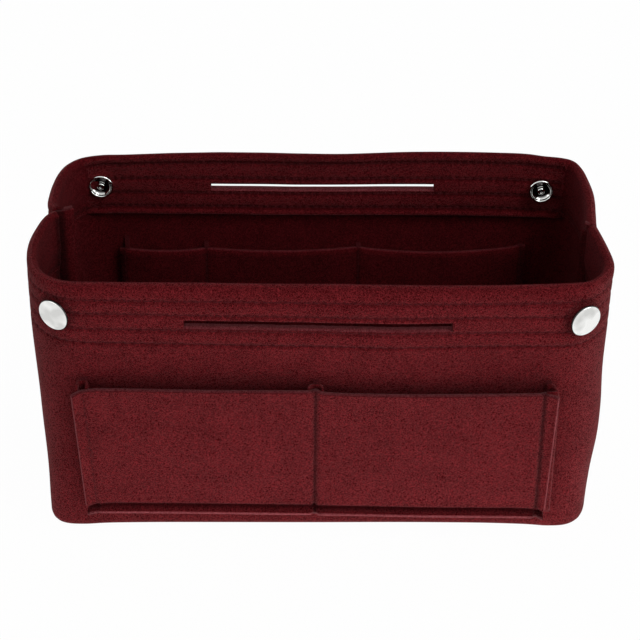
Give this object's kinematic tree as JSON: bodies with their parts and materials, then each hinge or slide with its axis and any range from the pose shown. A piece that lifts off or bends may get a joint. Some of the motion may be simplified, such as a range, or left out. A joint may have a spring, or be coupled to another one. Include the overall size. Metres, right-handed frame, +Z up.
{
  "type": "purse organizer insert",
  "caption": "Open felt tub that stands in a handbag, with folded hems, finger slots, press studs that draw its ends in, a front pocket and an inner pocket.",
  "frame": {"origin": "on the surface that the tub stands on, under the middle of its floor", "axes": "+X along the tub to the right, -Y towards the front with the two-bay pocket, +Z up"},
  "size_m": [0.276, 0.1338, 0.152],
  "materials": {
    "felt": "pressed wool-like felt",
    "thread": "spun thread",
    "snap_metal": "polished"
  },
  "bodies": {
    "base": {"floor_panel": "felt", "left_front_end": "felt", "left_back_end": "felt", "right_front_end": "felt", "right_back_end": "felt", "left_seam_tack": "thread", "right_seam_tack": "thread"},
    "front_wall": {"front_panel": "felt", "front_hem_bend": "felt", "front_pocket": "felt", "front_pocket_tack_1": "thread", "front_pocket_tack_2": "thread", "front_pocket_tack_3": "thread", "front_pocket_stitch_1": "thread", "front_pocket_stitch_2": "thread", "front_pocket_stitch_3": "thread"},
    "back_wall": {"back_panel": "felt", "back_hem_bend": "felt", "inner_pocket": "felt", "inner_pocket_tack_1": "thread", "inner_pocket_tack_2": "thread", "inner_pocket_tack_3": "thread", "inner_pocket_tack_4": "thread"},
    "front_band": {"front_hem": "felt", "front_hem_stitch_1": "thread", "front_hem_stitch_2": "thread", "front_hem_stitch_3": "thread", "front_hem_stitch_4": "thread"},
    "back_band": {"back_hem": "felt", "back_hem_stitch_1": "thread", "back_hem_stitch_2": "thread", "back_hem_stitch_3": "thread", "back_hem_stitch_4": "thread", "left_stud": "snap_metal", "left_rivet": "snap_metal", "right_stud": "snap_metal", "right_rivet": "snap_metal"},
    "left_snap": {"left_cap": "snap_metal", "left_socket": "snap_metal", "left_socket_spring": "snap_metal"},
    "right_snap": {"right_cap": "snap_metal", "right_socket": "snap_metal", "right_socket_spring": "snap_metal"}
  },
  "joints": [
    {"name": "front_wall_lean", "type": "hinge", "parent": "base", "child": "front_wall", "pos_m": [0, -0.0541, 0.0022], "axis": [-1, 0, 0], "range_deg": [0, 27.68], "stiffness_Nm_per_rad": 1, "deforming": ["front_hem_bend", "left_front_end", "right_front_end"]},
    {"name": "back_wall_lean", "type": "hinge", "parent": "base", "child": "back_wall", "pos_m": [0, 0.0541, 0.0022], "axis": [1, 0, 0], "range_deg": [0, 27.68], "stiffness_Nm_per_rad": 1, "deforming": ["back_hem_bend", "left_back_end", "right_back_end"]},
    {"name": "front_band_shift", "type": "slide", "parent": "base", "child": "front_band", "axis": [0, 0.9844, -0.1757], "range_m": [0, 0.05324]},
    {"name": "back_band_shift", "type": "slide", "parent": "base", "child": "back_band", "axis": [0, -0.9844, -0.1757], "range_m": [0, 0.05324]},
    {"name": "left_snap_turn", "type": "hinge", "parent": "front_band", "child": "left_snap", "pos_m": [-0.113, -0.03891, 0.1335], "axis": [0, 0, 1], "range_deg": [0, 29.01]},
    {"name": "right_snap_turn", "type": "hinge", "parent": "front_band", "child": "right_snap", "pos_m": [0.113, -0.03891, 0.1335], "axis": [0, 0, -1], "range_deg": [0, 29.01]}
  ],
  "couplings": [
    {"joint": "back_wall_lean", "follows": "front_wall_lean", "ratio": 1},
    {"joint": "front_band_shift", "follows": "front_wall_lean", "m_per_rad": 0.11016},
    {"joint": "back_band_shift", "follows": "front_wall_lean", "m_per_rad": 0.11016},
    {"joint": "left_snap_turn", "follows": "front_wall_lean", "ratio": 1.0474},
    {"joint": "right_snap_turn", "follows": "front_wall_lean", "ratio": 1.0474}
  ]
}
